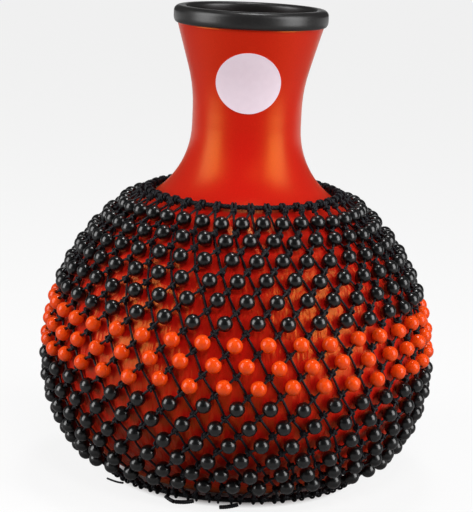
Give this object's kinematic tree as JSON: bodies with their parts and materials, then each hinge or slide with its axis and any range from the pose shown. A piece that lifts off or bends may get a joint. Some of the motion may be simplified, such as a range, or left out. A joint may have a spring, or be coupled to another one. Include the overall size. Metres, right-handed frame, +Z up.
{
  "type": "shekere",
  "caption": "Gourd-shaped shaker with a flared open neck, a rubber rim and a flat base, its belly dressed in a loose net of knotted cord threaded with round beads.",
  "frame": {"origin": "middle of the flat base, on the surface it stands on", "axes": "+Z up through the neck, the badge on the front of the neck faces -Y"},
  "size_m": [0.2466, 0.2472, 0.2927],
  "materials": {
    "shell_red": "deep red metallic gloss lacquer",
    "rim_rubber": "satin black",
    "badge_pale": "plain pale label",
    "cord_black": "braided polyester cord",
    "bead_black": "polished",
    "bead_orange": "polished"
  },
  "bodies": {
    "gourd": {"gourd_shell": "shell_red", "rim_ring": "rim_rubber", "badge": "badge_pale"},
    "collar": {"collar_cord": "cord_black"},
    "net": {"strand_01": "cord_black", "strand_02": "cord_black", "strand_03": "cord_black", "strand_04": "cord_black", "strand_05": "cord_black", "strand_06": "cord_black", "strand_07": "cord_black", "strand_08": "cord_black", "strand_09": "cord_black", "strand_10": "cord_black", "strand_11": "cord_black", "strand_12": "cord_black", "strand_13": "cord_black", "strand_14": "cord_black", "strand_15": "cord_black", "strand_16": "cord_black", "strand_17": "cord_black", "strand_18": "cord_black", "strand_19": "cord_black", "strand_20": "cord_black", "strand_21": "cord_black", "strand_22": "cord_black", "strand_23": "cord_black", "strand_24": "cord_black", "strand_25": "cord_black", "strand_26": "cord_black", "strand_27": "cord_black", "strand_28": "cord_black", "strand_29": "cord_black", "strand_30": "cord_black", "strand_31": "cord_black", "strand_32": "cord_black", "strand_33": "cord_black", "strand_34": "cord_black", "strand_35": "cord_black", "strand_36": "cord_black", "strand_37": "cord_black", "strand_38": "cord_black", "beads_row_01": "bead_black", "beads_row_02": "bead_black", "beads_row_03": "bead_black", "beads_row_04": "bead_black", "beads_row_05": "bead_black", "beads_row_06": "bead_black", "beads_row_07": "bead_orange", "beads_row_08": "bead_orange", "beads_row_09": "bead_orange", "beads_row_10": "bead_black", "beads_row_11": "bead_black", "beads_row_12": "bead_black", "beads_row_13": "bead_black", "beads_row_14": "bead_black", "beads_row_15": "bead_black", "base_cord": "cord_black", "cord_tails": "cord_black", "net_knots": "cord_black"}
  },
  "joints": [
    {"name": "net_lift", "type": "slide", "parent": "gourd", "child": "collar", "axis": [0, 0, 1], "range_m": [0, 0.002]},
    {"name": "net_turn", "type": "hinge", "parent": "collar", "child": "net", "pos_m": [0, 0, 0.1], "axis": [0, 0, 1], "continuous": true}
  ]
}
